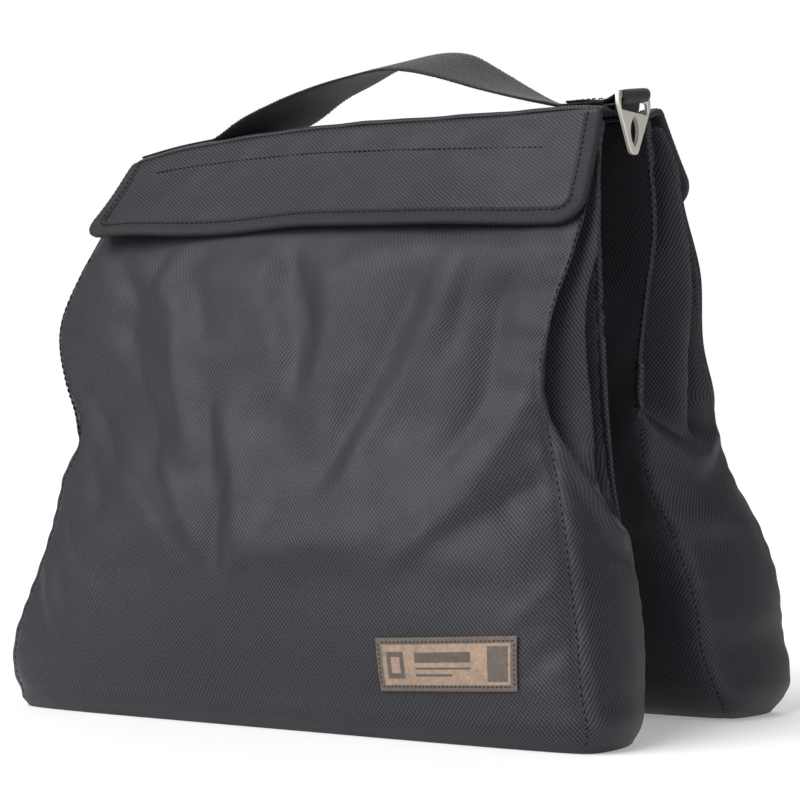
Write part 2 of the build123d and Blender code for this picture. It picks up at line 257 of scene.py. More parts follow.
# The filled liner, gathered at its neck: (height, half length, half depth, gather).
LINER = [
    (6, 148, 24, 0), (30, 156, 31, 0), (66, 150, 32, 0), (100, 132, 25, 0), (125, 116, 18, 0.02),
    (150, 96, 14, 0.05), (170, 72, 12, 0.1), (186, 42, 10, 0.2), (197, 16, 8, 0.22), (204, 6.5, 5.5, 0.12),
    (212, 7.5, 6, 0.2), (222, 13, 7, 0.3), (231, 17, 8, 0.36),
]

# The grab handle: where its near and far edges run, as (x, height).
HANDLE_NEAR = [
    (-92, 304.5), (-75, 313), (-58, 318.5), (-34, 324.5), (-5, 329), (20, 330.5), (36, 328), (54, 323),
    (78, 315), (101, 308.5), (120, 304),
]
HANDLE_FAR = [
    (-92, 304.5), (-72, 309), (-53, 314.5), (-33, 325), (-13, 332), (3, 338), (22, 342.6), (36, 343),
    (50, 340), (66, 331), (84, 320), (100, 311), (120, 304),
]
HANDLE_APEX = 22.0

CAMERA_PLACE = (683.2, -970.8, 131.2)
CAMERA_AIM = (1.0, 0.0, 163.4)
CAMERA_LENS = 100.7


# ---- curves and surfaces ----
def hermite(keys, values, at):
    """Values at the given keys on a smooth line; the ends are held beyond it."""
    slopes = np.gradient(values, keys, axis=0)
    at = np.clip(at, keys[0], keys[-1])
    left = np.clip(np.searchsorted(keys, at, side="right") - 1, 0, len(keys) - 2)
    shape = at.shape + (1,) * (values.ndim - 1)
    span = (keys[left + 1] - keys[left]).reshape(shape)
    t = (at - keys[left]).reshape(shape) / span
    start, end = values[left], values[left + 1]
    leave, arrive = slopes[left] * span, slopes[left + 1] * span
    bend = (t - 1) ** 2 * t * leave + (t - 1) * t**2 * arrive
    return start + (end - start) * t**2 * (3 - 2 * t) + bend


def through(points, at):
    """The same for a short list of (key, value, ...) points."""
    table = np.array(points, float)
    values = hermite(table[:, 0], table[:, 1:], np.asarray(at, float))
    return values[..., 0] if table.shape[1] == 2 else values


def ease(low, high, at):
    """0 below low, 1 above high and smooth between."""
    t = np.clip((np.asarray(at, float) - low) / (high - low), 0, 1)
    return t * t * (3 - 2 * t)


def rough(points, scale, seed=0.0):
    """Smooth noise from -1 to 1 at each point."""
    flat = np.asarray(points, float).reshape(-1, 3) / scale + seed
    values = np.array([noise(Vector(p)) for p in flat])
    return values.reshape(np.asarray(points).shape[:-1])


def fold_height(strokes, x, z):
    """How far the folds lift a panel at each (x, z)."""
    total = np.zeros(x.shape)
    for rise, width, points in strokes:
        corners = np.array(points, float)
        keys = np.arange(len(corners), dtype=float)
        line = hermite(keys, corners, np.linspace(0, keys[-1], 6 * len(corners)))
        nearest = np.full(x.shape, np.inf)
        share = np.zeros(x.shape)
        for i, (a, b) in enumerate(zip(line, line[1:])):
            step = b - a
            t = np.clip(((x - a[0]) * step[0] + (z - a[1]) * step[1]) / (step @ step), 0, 1)
            away = np.hypot(x - a[0] - t * step[0], z - a[1] - t * step[1])
            closer = away < nearest
            nearest = np.where(closer, away, nearest)
            share = np.where(closer, (i + t) / (len(line) - 1), share)
        fade = ease(-0.05, 0.25, share) * (1 - ease(0.7, 1.05, share))
        total += rise * fade * np.exp(-((nearest / width) ** 1.4))
    return total


def refine(grid, across, along):
    """A finer grid on the same smooth surface: so many steps for each one between columns and rows."""
    rows, columns = grid.shape[:2]
    grid = hermite(np.arange(rows, dtype=float), grid, np.arange((rows - 1) * along + 1) / along)
    turned = grid.transpose(1, 0, 2)
    fine = hermite(np.arange(columns, dtype=float), turned, np.arange((columns - 1) * across + 1) / across)
    return fine.transpose(1, 0, 2)


def unit(vectors):
    """The same directions at length 1."""
    return vectors / (np.linalg.norm(vectors, axis=-1, keepdims=True) + 1e-9)


def travelled(path):
    """How far along a path each of its points is."""
    return np.r_[0, np.cumsum(np.linalg.norm(np.diff(path, axis=0), axis=1))]


def soften(points, times):
    """Smooths a row of points between its two ends, in place."""
    for _ in range(times):
        points[1:-1] = (points[:-2] + 2 * points[1:-1] + points[2:]) / 4


def grid_normals(grid, towards):
    """Unit normals of a grid of points, on the side of the direction given."""
    normal = unit(np.cross(np.gradient(grid, axis=1), np.gradient(grid, axis=0)))
    return normal if normal.mean((0, 1)) @ np.array(towards) > 0 else -normal


# ---- meshes ----
def quads(rows, columns, closed=False):
    """Corners of the faces between neighbouring rows and columns."""
    i, j = np.mgrid[0 : rows - 1, 0 : columns if closed else columns - 1]
    near, far = i * columns + j, i * columns + (j + 1) % columns
    return np.stack([near, far, far + columns, near + columns], -1).reshape(-1, 4)


def grid_uv(u, v):
    """Texture coordinates at the corners of a grid's faces, from those at its points."""
    at = np.stack(np.broadcast_arrays(u, v), -1)
    return np.stack([at[:-1, :-1], at[:-1, 1:], at[1:, 1:], at[1:, :-1]], 2)


def quad_uv(rows_at, columns_at):
    """The same for rows and columns at fixed distances in millimetres."""
    return grid_uv(columns_at[None, :], rows_at[:, None]).reshape(-1, 4, 2)


def piece(name, points, faces, uv=None, finish=None):
    """A smooth-shaded mesh object with its faces turned outwards."""
    mesh = bpy.data.meshes.new(name)
    places = np.asarray(points, float).reshape(-1, 3) * MM
    mesh.from_pydata(places.tolist(), [], [tuple(map(int, face)) for face in faces])
    if uv is not None:
        layer = mesh.uv_layers.new(name="cloth")
        layer.data.foreach_set("uv", np.asarray(uv, np.float32).ravel())
    if finish is not None:
        mesh.materials.append(finish)
    obj = bpy.data.objects.new(name, mesh)
    bpy.context.scene.collection.objects.link(obj)
    tidy = bmesh.new()
    tidy.from_mesh(mesh)
    bmesh.ops.remove_doubles(tidy, verts=tidy.verts, dist=0.00002)
    bmesh.ops.recalc_face_normals(tidy, faces=tidy.faces)
    middle = sum((v.co for v in tidy.verts), Vector()) / len(tidy.verts)
    if sum((f.calc_center_median() - middle) @ f.normal * f.calc_area() for f in tidy.faces) < 0:
        bmesh.ops.reverse_faces(tidy, faces=tidy.faces)
    tidy.to_mesh(mesh)
    tidy.free()
    mesh.polygons.foreach_set("use_smooth", [True] * len(mesh.polygons))
    return obj


def apply_modifiers(obj):
    """Keeps the mesh that the modifiers make."""
    graph = bpy.context.evaluated_depsgraph_get()
    made = bpy.data.meshes.new_from_object(obj.evaluated_get(graph))
    obj.modifiers.clear()
    obj.data = made


def thicken(obj, thickness, offset=0.0):
    """Gives a sheet its thickness."""
    solid = obj.modifiers.new("thickness", "SOLIDIFY")
    solid.thickness = thickness * MM
    solid.offset = offset
    apply_modifiers(obj)


def cloth_piece(name, grid, uv, finish, thickness):
    """A sheet of cloth whose middle surface is a grid of points."""
    obj = piece(name, grid, quads(*grid.shape[:2]), uv, finish)
    thicken(obj, thickness)
    return obj


def attach(obj, body, slot, *nodes):
    """Names a piece's body (None leaves it unparented) and hides the CAD nodes it stands for; slot is not
    used.
    """
    if body is not None:
        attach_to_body(obj, body)
    if nodes:
        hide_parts(*nodes)


def band(name, path, sides, ups, profile, finish):
    """A closed profile of (aside, up) points swept along a path, with its own directions at each point."""
    profile = np.array(profile, float)
    rings = path[:, None] + profile[None, :, :1] * sides[:, None] + profile[None, :, 1:] * ups[:, None]
    rows, columns = rings.shape[:2]
    uv = quad_uv(travelled(path), travelled(np.r_[profile, profile[:1]]))
    caps = []
    for first in (0, (rows - 1) * columns):
        caps += [(first, first + k, first + k + 1) for k in range(1, columns - 1)]
    uv = np.r_[uv.ravel(), np.zeros(6 * len(caps))]
    return piece(name, rings, list(quads(rows, columns, True)) + caps, uv, finish)


def stitch_row(path, out):
    """A row for stitches with the same direction out of the fabric all along."""
    return path, np.broadcast_to(out, path.shape)


def along_row(values, far, at):
    """A row's point or direction at a distance along it."""
    return np.array([np.interp(at, far, values[:, k]) for k in range(3)])


def stitches(name, rows, thread, pitch=STITCH_PITCH, length=STITCH_LENGTH, radius=THREAD_R):
    """Rows of short sewn threads. A row is (points, directions out of the fabric)."""
    turns = np.linspace(0, 2 * math.pi, 7)[:-1]
    # (place along the stitch, thickness), each as a share
    shape = [(-0.5, 0.25), (-0.42, 0.75), (-0.2, 1.0), (0.2, 1.0), (0.42, 0.75), (0.5, 0.25)]
    skin = quads(len(shape), len(turns), True)
    first_end = np.arange(len(turns))
    last_end = first_end + (len(shape) - 1) * len(turns)
    points, faces = [], []
    for path, ups in rows:
        far = travelled(path)
        for middle in np.arange(pitch / 2, far[-1] - pitch / 4, pitch):
            start, end = (along_row(path, far, middle + aside) for aside in (-0.6, 0.6))
            along = unit(end - start)
            side = unit(np.cross(along, along_row(ups, far, middle)))
            up = np.cross(side, along)
            base = len(points)
            for place, size in shape:
                sink = 0.5 * radius * (abs(place) > 0.4)
                centre = (start + end) / 2 + along * place * length - up * sink
                points += [centre + radius * size * (side * math.cos(a) + up * math.sin(a)) for a in turns]
            faces += [*(base + skin), base + first_end, base + last_end]
    return piece(name, points, faces, finish=thread)


# ---- materials ----
class Nodes:
    """A short way to write a node tree."""

    def __init__(self, name):
        self.material = bpy.data.materials.new(name)
        self.material.use_nodes = True
        self.tree = self.material.node_tree
        self.shader = self.tree.nodes["Principled BSDF"]

    def feed(self, value, socket):
        """Links another node's output to a socket, or sets a plain value on it."""
        if hasattr(value, "is_output"):
            self.tree.links.new(value, socket)
        else:
            socket.default_value = value

    def add(self, kind, inputs=None, **settings):
        node = self.tree.nodes.new(kind)
        for key, value in settings.items():
            setattr(node, key, value)
        for key, value in (inputs or {}).items():
            self.feed(value, node.inputs[key])
        return node.outputs[0]

    def maths(self, operation, *values):
        return self.add("ShaderNodeMath", dict(enumerate(values)), operation=operation)

    def times(self, product, *others):
        for other in others:
            product = self.maths("MULTIPLY", product, other)
        return product

    def uv(self):
        """The cloth coordinates in millimetres, as (along, across)."""
        place = self.add("ShaderNodeUVMap", uv_map="cloth")
        split = self.add("ShaderNodeSeparateXYZ", {0: place}).node
        return split.outputs[0], split.outputs[1]

    def place(self):
        return self.tree.nodes.new("ShaderNodeTexCoord").outputs["Object"]

    def noise(self, scale, detail=3.0, vector=None, roughness=0.5):
        inputs = {"Scale": scale, "Detail": detail, "Roughness": roughness, "Vector": vector or self.place()}
        return self.add("ShaderNodeTexNoise", inputs)

    def cells(self, scale):
        return self.add("ShaderNodeTexVoronoi", {"Vector": self.place(), "Scale": scale})

    def wave(self, along, pitch):
        """A sine of a coordinate, from 0 to 1."""
        turn = self.times(along, 2 * math.pi / pitch)
        return self.maths("MULTIPLY_ADD", self.maths("SINE", turn), 0.5, 0.5)

    def ramp(self, value, low, high, start=0.0, end=1.0):
        inputs = {"Value": value, "From Min": low, "From Max": high, "To Min": start, "To Max": end}
        return self.add("ShaderNodeMapRange", inputs, clamp=True)

    def mottled(self, scale, start, end, detail=3.0, low=0.3, high=0.7, vector=None):
        """Noise as a factor between two values."""
        return self.ramp(self.noise(scale, detail, vector), low, high, start, end)

    def mix(self, share, first, second):
        node = self.tree.nodes.new("ShaderNodeMix")
        node.data_type = "RGBA"
        for index, value in ((0, share), (6, first), (7, second)):
            self.feed(value, node.inputs[index])
        return node.outputs[2]

    def tint(self, colour, amount):
        """A colour made lighter or darker by a factor."""
        return self.add("ShaderNodeVectorMath", {0: colour, "Scale": amount}, operation="SCALE")

    def surface(self, colour, roughness, height=None, depth=0.1, strength=1.0, **fixed):
        """Wires the shader; fixed values go straight onto its sockets."""
        self.feed(colour, self.shader.inputs["Base Color"])
        self.feed(roughness, self.shader.inputs["Roughness"])
        if height is not None:
            inputs = {"Height": height, "Distance": depth * MM, "Strength": strength}
            self.feed(self.add("ShaderNodeBump", inputs), self.shader.inputs["Normal"])
        for name, value in fixed.items():
            self.shader.inputs[name.replace("_", " ")].default_value = value
        return self.material


def rgb(red, green, blue):
    return (red, green, blue, 1.0)


def twill(name, shade, lead=0.5):
    """Heavy woven nylon: two crossing diagonals that show by turns, slubs, faint rubbing and uneven dye."""
    n = Nodes(name)
    u, v = n.uv()
    drift = n.maths("MULTIPLY_ADD", u, 0.49, n.times(n.noise(70.0, 2.0), 0.9))
    rising, falling = (n.wave(n.maths("MULTIPLY_ADD", v, lean, drift), 1.0) for lean in (0.37, -0.37))
    share = n.mottled(7.0, lead - 0.28, lead + 0.28, detail=1.0, low=0.35, high=0.65)
    weave = n.maths("ADD", falling, n.times(n.maths("SUBTRACT", rising, falling), share))
    patches = n.mottled(14.0, 0.95, 1.05)
    flecks = n.mottled(900.0, 0.86, 1.16, detail=1.0, low=0.35, high=0.75)
    worn = n.ramp(n.add("ShaderNodeNewGeometry").node.outputs["Pointiness"], 0.5, 0.58, 1.0, 1.25)
    amount = n.times(patches, flecks, worn, n.ramp(weave, 0.08, 0.92, 0.22, 1.78))
    gloss = n.mottled(60.0, 0.46, 0.56, detail=2.0)
    return n.surface(n.tint(shade, amount), gloss, weave, depth=0.2, strength=0.6, **CLOTH_GLOSS)


def ribbed(name, shade, pitch, depth, cross=0.0):
    """Woven tape: ribs across its length and finer threads along it."""
    n = Nodes(name)
    u, v = n.uv()
    ribs = n.wave(n.maths("MULTIPLY_ADD", u, cross, v), pitch)
    weave = n.maths("MULTIPLY_ADD", n.wave(u, 0.8), 0.25, n.times(ribs, 0.75))
    patches = n.mottled(30.0, 0.9, 1.1)
    flecks = n.mottled(700.0, 0.85, 1.2, detail=1.0, high=0.8)
    amount = n.times(patches, flecks, n.ramp(weave, 0.1, 0.9, 0.5, 1.45))
    return n.surface(n.tint(shade, amount), 0.6, weave, depth=depth, strength=0.8, **CLOTH_GLOSS)


def fuzzy(name, shade):
    """Hook or loop tape."""
    n = Nodes(name)
    pile = n.cells(900.0)
    tone = n.times(n.ramp(pile, 0.0, 0.7, 1.5, 0.6), n.mottled(60.0, 0.85, 1.15))
    return n.surface(n.tint(shade, tone), 0.85, n.maths("SUBTRACT", 1.0, pile), depth=0.6, Sheen_Weight=0.2)


def thread(name, shade):
    """Twisted sewing thread."""
    n = Nodes(name)
    tone = n.mottled(1500.0, 0.7, 1.3, detail=2.0)
    return n.surface(n.tint(shade, tone), 0.8, n.noise(2600.0, 1.0), depth=0.05, Specular_IOR_Level=0.12)


def satin_nickel(name):
    """Plated steel, brushed along its length."""
    n = Nodes(name)
    stretched = n.add("ShaderNodeMapping", {"Vector": n.place(), "Scale": (1.0, 9.0, 1.0)})
    grain = n.noise(420.0, 3.0, stretched)
    tone = n.ramp(grain, 0.3, 0.7, 0.92, 1.06)
    gloss = n.mottled(300.0, 0.3, 0.46, vector=stretched)
    return n.surface(n.tint((0.74, 0.7, 0.64), tone), gloss, grain, depth=0.02, Metallic=0.6)


def woven_label(name, half_length, half_height):
    """A woven label: a dark border, a tan field, a plain block and a few bars for a motif."""
    n = Nodes(name)
    u, v = n.uv()
    edge_u = n.maths("SUBTRACT", half_length, n.maths("ABSOLUTE", u))
    edge_v = n.maths("SUBTRACT", half_height, n.maths("ABSOLUTE", v))
    inside = n.ramp(n.maths("MINIMUM", edge_u, edge_v), 2.9, 3.3)

    def block(left, right, low, high):
        """1 inside a rectangle with slightly soft edges."""
        blur = 0.15
        walls = []
        for across, start, end in ((u, left, right), (v, low, high)):
            walls.append(n.ramp(across, start - blur, start + blur))
            walls.append(n.ramp(across, end - blur, end + blur, 1.0, 0.0))
        return n.times(*walls)

    frame_mark = block(-half_length + 5.5, -half_length + 15.0, -6.5, 6.0)
    hole = block(-half_length + 7.8, -half_length + 12.7, -4.0, 3.5)
    marks = n.maths("SUBTRACT", frame_mark, hole)
    for bar in ((-16.0, 14.0, 0.8, 5.6), (-16.0, 14.0, -2.4, -1.4), (-16.0, 4.0, -5.6, -4.4)):
        marks = n.maths("MAXIMUM", marks, block(*bar))
    panel = block(half_length - 14.5, half_length - 4.2, -half_height + 4.4, half_height - 4.4)
    threads = n.times(n.wave(u, 0.62), n.wave(v, 0.62))
    grainy = n.mottled(500.0, 0.78, 1.2, detail=4.0, high=0.75)
    tone = n.times(grainy, n.ramp(threads, 0.0, 0.8, 0.84, 1.12))
    patches = n.mottled(160.0, 0.0, 1.0, detail=4.0, low=0.42)
    field = n.mix(patches, rgb(0.29, 0.202, 0.145), rgb(0.235, 0.162, 0.116))
    colour = n.mix(inside, rgb(0.092, 0.071, 0.056), field)
    colour = n.mix(panel, colour, rgb(0.088, 0.07, 0.057))
    colour = n.mix(marks, colour, rgb(0.075, 0.06, 0.05))
    height = n.maths("MULTIPLY_ADD", threads, 0.5, n.maths("SUBTRACT", 1.0, inside))
    return n.surface(n.tint(colour, tone), 0.68, height, depth=0.2, strength=0.8, Sheen_Weight=0.1)


def grains(name):
    """Dry sand."""
    n = Nodes(name)
    cells = n.cells(1600.0)
    tone = n.times(n.ramp(cells, 0.0, 0.6, 1.25, 0.6), n.mottled(50.0, 0.85, 1.15))
    return n.surface(n.tint((0.5, 0.38, 0.25), tone), 0.9, cells, depth=0.4)


def coated(name, shade):
    """Thin coated liner fabric with a fine crease pattern."""
    n = Nodes(name)
    u, v = n.uv()
    weave = n.times(n.wave(u, 0.8), n.wave(v, 0.8))
    creases = n.noise(120.0, 5.0, roughness=0.65)
    tone = n.times(n.ramp(creases, 0.3, 0.7, 0.8, 1.2), n.ramp(weave, 0.0, 1.0, 0.92, 1.08))
    height = n.maths("MULTIPLY_ADD", creases, 3.0, weave)
    return n.surface(n.tint(shade, tone), 0.42, height, depth=0.25, strength=0.6)


CLOTH_GLOSS = {"Sheen_Weight": 0.03, "Sheen_Roughness": 0.5, "Specular_IOR_Level": 0.24}
TWILL = (0.0194, 0.0184, 0.0238)
finishes = {
    "twill": twill("charcoal_twill", TWILL),
    # the flap's twill is the same cloth made 0.86 times darker: painted shade, since the flap faces the light
    # more than the panels; lead=0.85 is its own weave
    "flap_twill_painted_shade": twill("charcoal_twill_flap_painted_shade", tuple(0.86 * c for c in TWILL), lead=0.85),
    "webbing": ribbed("charcoal_webbing", (0.0153, 0.0147, 0.0186), 1.9, 0.35, cross=0.5),
    "binding": ribbed("binding_tape", (0.0145, 0.0138, 0.0176), 1.25, 0.25),
    "fastening_tape": fuzzy("fastening_tape", (0.016, 0.016, 0.018)),
    "liner": coated("coated_liner", (0.06, 0.06, 0.063)),
    "sand": grains("dry_sand"),
    "tie": thread("tie_cord", (0.02, 0.02, 0.02)),
    "thread": thread("dark_thread", (0.011, 0.011, 0.0125)),
    # near-black thread for the gusset seams: painted shade of the stitch holes in the seam's groove
    "seam_thread_painted_shade": thread("seam_thread_painted_shade", (0.003, 0.003, 0.0035)),
    "label_thread": thread("label_thread", (0.022, 0.018, 0.016)),
    "label": woven_label("woven_label", *HALF_LABEL),
    "ring_steel": satin_nickel("satin_nickel"),
}


# ---- flaps ----
def ridge_height(x):
    return RIDGE_Z + through(RIDGE, x)


def flap_fold(side, x):
    """The flap's slope in radians, where it turns down outboard of its hinge line, and its rise to there."""
    turn, rise = np.moveaxis(through(side["fold"], x), -1, 0)
    return np.radians(through(side["slope"], x)), turn, rise


def flap_point(side, x, down, above=0.0):
    """A point so far along a closed flap, so far down it from the hinge line, and so far above its middle."""
    x, down, above = np.broadcast_arrays(*(np.asarray(value, float) for value in (x, down, above)))
    slope, turn, rise = flap_fold(side, x)
    run = down - turn
    angle = np.clip(run / FLAP_ROLL, 0, slope)
    straight = np.maximum(run - FLAP_ROLL * slope, 0)
    out = np.where(run < 0, run, FLAP_ROLL * np.sin(angle)) + straight * np.cos(slope) + turn
    drop = FLAP_ROLL * (1 - np.cos(angle)) + straight * np.sin(slope) - rise * ease(-4, turn + 1, down)
    share = np.clip(down / through(side["length"], x), 0, 1.1)
    sag = 1.4 * np.sin(math.pi * np.clip(share, 0, 1))
    wave = share**2 * (1.1 * np.sin(x / 29 + 1 + side["sign"]) + 0.7 * np.sin(x / 15.5 + 2.2))
    above = above + wave - sag
    out = out + above * np.sin(angle)
    z = ridge_height(x) - FLAP_THICK / 2 - drop + above * np.cos(angle)
    x = x - side["flare"] * np.clip(-x / HALF_TOP, 0, 1) ** 2 * share
    return np.stack([x, side["hinge"] + side["sign"] * out, z], -1)


def flap_out(side, x, z):
    """How far outboard of the hinge line the middle of the flap is at a height."""
    slope, turn, rise = flap_fold(side, x)
    drop = ridge_height(x) + rise - FLAP_THICK / 2 - z - FLAP_ROLL * (1 - np.cos(slope))
    return FLAP_ROLL * np.sin(slope) + turn + np.maximum(drop, 0) / np.tan(slope)


def corner_inset(down, length):
    """How far the flap's rounded corner takes its end in, so far down."""
    past = np.clip(down - (length - FLAP_CORNER), 0, FLAP_CORNER)
    return FLAP_CORNER - np.sqrt(np.maximum(FLAP_CORNER**2 - past**2, 0))


def flap_edge(side, inset, step=1.2):
    """Points round the three bound edges as (x, down), with the inward direction at each."""
    straight_half = HALF_TOP - FLAP_CORNER
    points, inward = [], []
    for sign in (-1, 1):
        length = float(through(side["length"], sign * straight_half))
        downs = np.arange(-FLAP_ROOT, length - FLAP_CORNER, step)
        run = [((sign * HALF_TOP, down), (-sign, 0.0)) for down in downs]
        centre = np.array([sign * straight_half, length - FLAP_CORNER])
        for a in np.linspace(0, math.pi / 2, 14):
            away = np.array([sign * math.cos(a), math.sin(a)])
            run.append((centre + away * FLAP_CORNER, -away))
        if sign > 0:
            xs = np.arange(-straight_half + step, straight_half - step / 2, step)
            run = [((x, float(through(side["length"], x))), (0.0, -1.0)) for x in xs] + run[::-1]
        for place, direction in run:
            points.append(tuple(place))
            inward.append(tuple(direction))
    points, inward = np.array(points), np.array(inward)
    return points + inset * inward, inward


def make_panel(side):
    """The flap's fabric, cut across the grain, in a darker copy of the twill: painted shade for a flap that
    faces the light more than the panels.
    """
    columns = np.linspace(-1, 1, 151)
    shares = np.r_[np.linspace(-0.1, 0.75, 26), 0.75 + 0.25 * np.sin(np.linspace(0, math.pi / 2, 13))[1:]]
    share, column = np.meshgrid(shares, columns, indexing="ij")
    length = through(side["length"], column * HALF_TOP)
    down = share * length
    x = column * (HALF_TOP - FLAP_TRIM - corner_inset(down, length - FLAP_TRIM))
    grid = flap_point(side, x, down - FLAP_TRIM * ease(0.8, 1.0, share))
    small = (rough(grid, 22.0, side["sign"]) * 0.5 + rough(grid, 9.0, 5.0) * 0.18) * ease(-2, 6, down)
    grid = grid + small[..., None] * grid_normals(grid, (0, side["sign"], 1))
    uv = quad_uv(-shares * 62.0, columns * HALF_TOP)[..., ::-1]
    panel = cloth_piece(side["name"] + "_flap", grid, uv, finishes["flap_twill_painted_shade"], FLAP_THICK)
    attach(panel, None, "twill", side["name"] + "_flap_panel")
    return panel


def make_binding(side):
    """The tape folded over the flap's three free edges, puckered by its stitches."""
    edge, inward = flap_edge(side, 0.0)
    half = FLAP_THICK / 2
    face = [(BINDING, half), (8.7, half + 0.5), (6.8, half + 0.35), (4.0, half + 0.75), (1.0, half + 0.6)]
    profile = face + [(0.1, half), (-0.35, 0.0), (0.1, -half)] + [(a, -h) for a, h in face[::-1]]
    far = travelled(edge)
    pucker = 1 + 0.12 * np.sin(2 * math.pi * far / STITCH_PITCH)
    rings = []
    for inset, above in profile:
        place = edge + inset * inward
        thin = 0.45 + 0.55 * ease(-3, 5, place[:, 1])
        rings.append(flap_point(side, place[:, 0], place[:, 1], above * pucker * thin))
    rings = np.stack(rings, 1)
    across = np.array([inset for inset, _ in profile + profile[:1]])
    faces = quads(*rings.shape[:2], True)
    binding = piece(side["name"] + "_binding", rings, faces, quad_uv(far, across), finishes["binding"])
    attach(binding, None, "binding", side["name"] + "_flap_binding")
    return binding


def make_flap(side):
    """The flap panel, its binding, the tape under it and the stitching, all shaped to turn down at the hinge
    line.
    """
    name = side["name"]
    half = FLAP_THICK / 2
    panel = make_panel(side)
    binding = make_binding(side)

    tape_x = np.linspace(-TAPE_HALF, TAPE_HALF, 90)
    tape_down = np.linspace(TAPE_TOP, TAPE_TOP + TAPE_HEIGHT, 9)
    across, along = np.meshgrid(tape_down, tape_x, indexing="ij")
    across = across * through(side["length"], along) / FLAP_LENGTH - 3.5
    under = flap_point(side, along, across, -half - TAPE_THICK / 2)
    uv = quad_uv(tape_down, tape_x)
    hook = cloth_piece(name + "_hook_strip", under, uv, finishes["fastening_tape"], TAPE_THICK)
    attach(hook, None, "fastening_tape", name + "_hook_tape")

    edge, _ = flap_edge(side, EDGE_SEWING)
    rows = [(edge[:, 0], edge[:, 1], face * (half + 0.62), face) for face in (1, -1)]
    xs = np.arange(-TAPE_HALF, TAPE_HALF, 2.0)
    rows.append((xs, through(TAPE_SEWING, xs), half + 0.2, 1))
    sewn = []
    for x, down, above, face in rows:
        path = flap_point(side, x, down, above)
        sewn.append((path, flap_point(side, x, down, above + face) - path))
    sewing = stitches(name + "_flap_stitches", sewn, finishes["thread"])
    attach(sewing, None, "binding")

    for obj in (panel, binding, hook, sewing):
        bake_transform(obj)


# ---- pouches ----
def panel_grid(side, which, levels, tops, count):
    """The outer or inner panel, from its left seam to its right one."""
    across = np.linspace(-1, 1, count)
    z = lift_top(levels, np.minimum(tops, ridge_height(149 * across) - 2.5 + across))
    u = np.broadcast_to(across, z.shape)
    left, right = (through(side[which + end], z) for end in ("_left", "_right"))
    x, edge = np.moveaxis(left + (right - left) * (u[..., None] + 1) / 2, -1, 0)
    power = through([(0, 7), (60, 4.6), (120, 3.2), (200, 2.6), (260, 4), (301, 5)], z)
    full = 1 - np.abs(u) ** power
    y = edge + (through(side[which + "_middle"], z) - edge) * full
    if which == "outer":
        folds = fold_height(side["folds"], x, z) * (1 - 0.7 * ease(236, 250, z))
        y = tuck_under(side, x, y, z) + side["sign"] * folds
    return np.stack([x, y, z], -1)


def tuck_under(side, x, y, z):
    """Keeps the outer panel's upper part a gap behind the flap."""
    out = side["sign"] * (y - side["hinge"])
    under = ease(226, 246, z)
    out = out * (1 - under) + np.minimum(out, flap_out(side, x, z) - FLAP_GAP) * under
    return side["hinge"] + side["sign"] * out


def lift_top(levels, tops):
    """Heights of the grid's points: level below, and rising to each column's own top."""
    level = levels[:, None]
    return level + (tops[None, :] - MOUTH) * ease(0.75 * MOUTH, MOUTH, level)


def gusset_grid(side, end, levels, count):
    """An end gusset, from the outer seam to the inner one: pleated inwards above and swollen below."""
    sign = -1 if end == "left" else 1
    s = np.linspace(0, 1, count)
    z = lift_top(levels, MOUTH + (side["top_" + end] - MOUTH) * s**0.6)
    share = np.broadcast_to(s, z.shape)
    outer_x, outer_y = np.moveaxis(through(side["outer_" + end], z), -1, 0)
    inner_x, inner_y = np.moveaxis(through(side["inner_" + end], z), -1, 0)
    outer_y = tuck_under(side, outer_x, outer_y, z)
    x = outer_x + (inner_x - outer_x) * share
    y = outer_y + (inner_y - outer_y) * share
    chord = np.abs(outer_y - inner_y)
    depth = np.minimum(side["pleat"], 3 + 0.62 * chord)
    wander = share + 0.05 * np.sin(math.pi * share) * np.sin(z / 17 + 2 * sign) * (1 - ease(255, 285, z))
    valleys = (0.5 - 0.5 * np.cos(4 * math.pi * wander)) ** 0.85
    middle = np.exp(-(((wander - 0.5) / 0.13) ** 2)) * np.minimum(side["ridge"], 0.25 * chord)
    swell = np.sin(math.pi * share) ** 0.6 * through(side["swell"], z)
    start, change = side["shelf"]
    break_at = start + change * share + 5 * np.sin(2.3 * math.pi * share + sign)
    pleated = ease(-13, 15, z - break_at)
    outward = pleated * (middle - depth * valleys) + (1 - pleated) * swell
    ledge = 3.5 * np.exp(-(((z - break_at + 12) / 9) ** 2)) * np.sin(math.pi * share)
    return np.stack([x + sign * (outward + ledge), y, z], -1)


def pouch_loops(panels):
    """The four panels as rows of closed loops."""
    return np.concatenate([grid[:, :-1] for grid in panels], axis=1)


def base_loops(foot):
    """Loops that close the flat base, from its edge towards its middle line."""
    low, high = foot[:, 1].min(), foot[:, 1].max()
    half_length = foot[:, 0].max() - abs(high - low) / 2
    across = np.linspace(-half_length, half_length, LONG * FINE + 1)
    ends = np.full(SHORT * FINE, half_length)
    line_x = np.r_[across[:-1], ends, across[:0:-1], -ends]
    line = np.stack([line_x, np.full(len(line_x), (high + low) / 2), np.full(len(line_x), 0.6)], -1)
    return np.stack([foot + (line - foot) * share for share, _ in BASE_LOOPS])


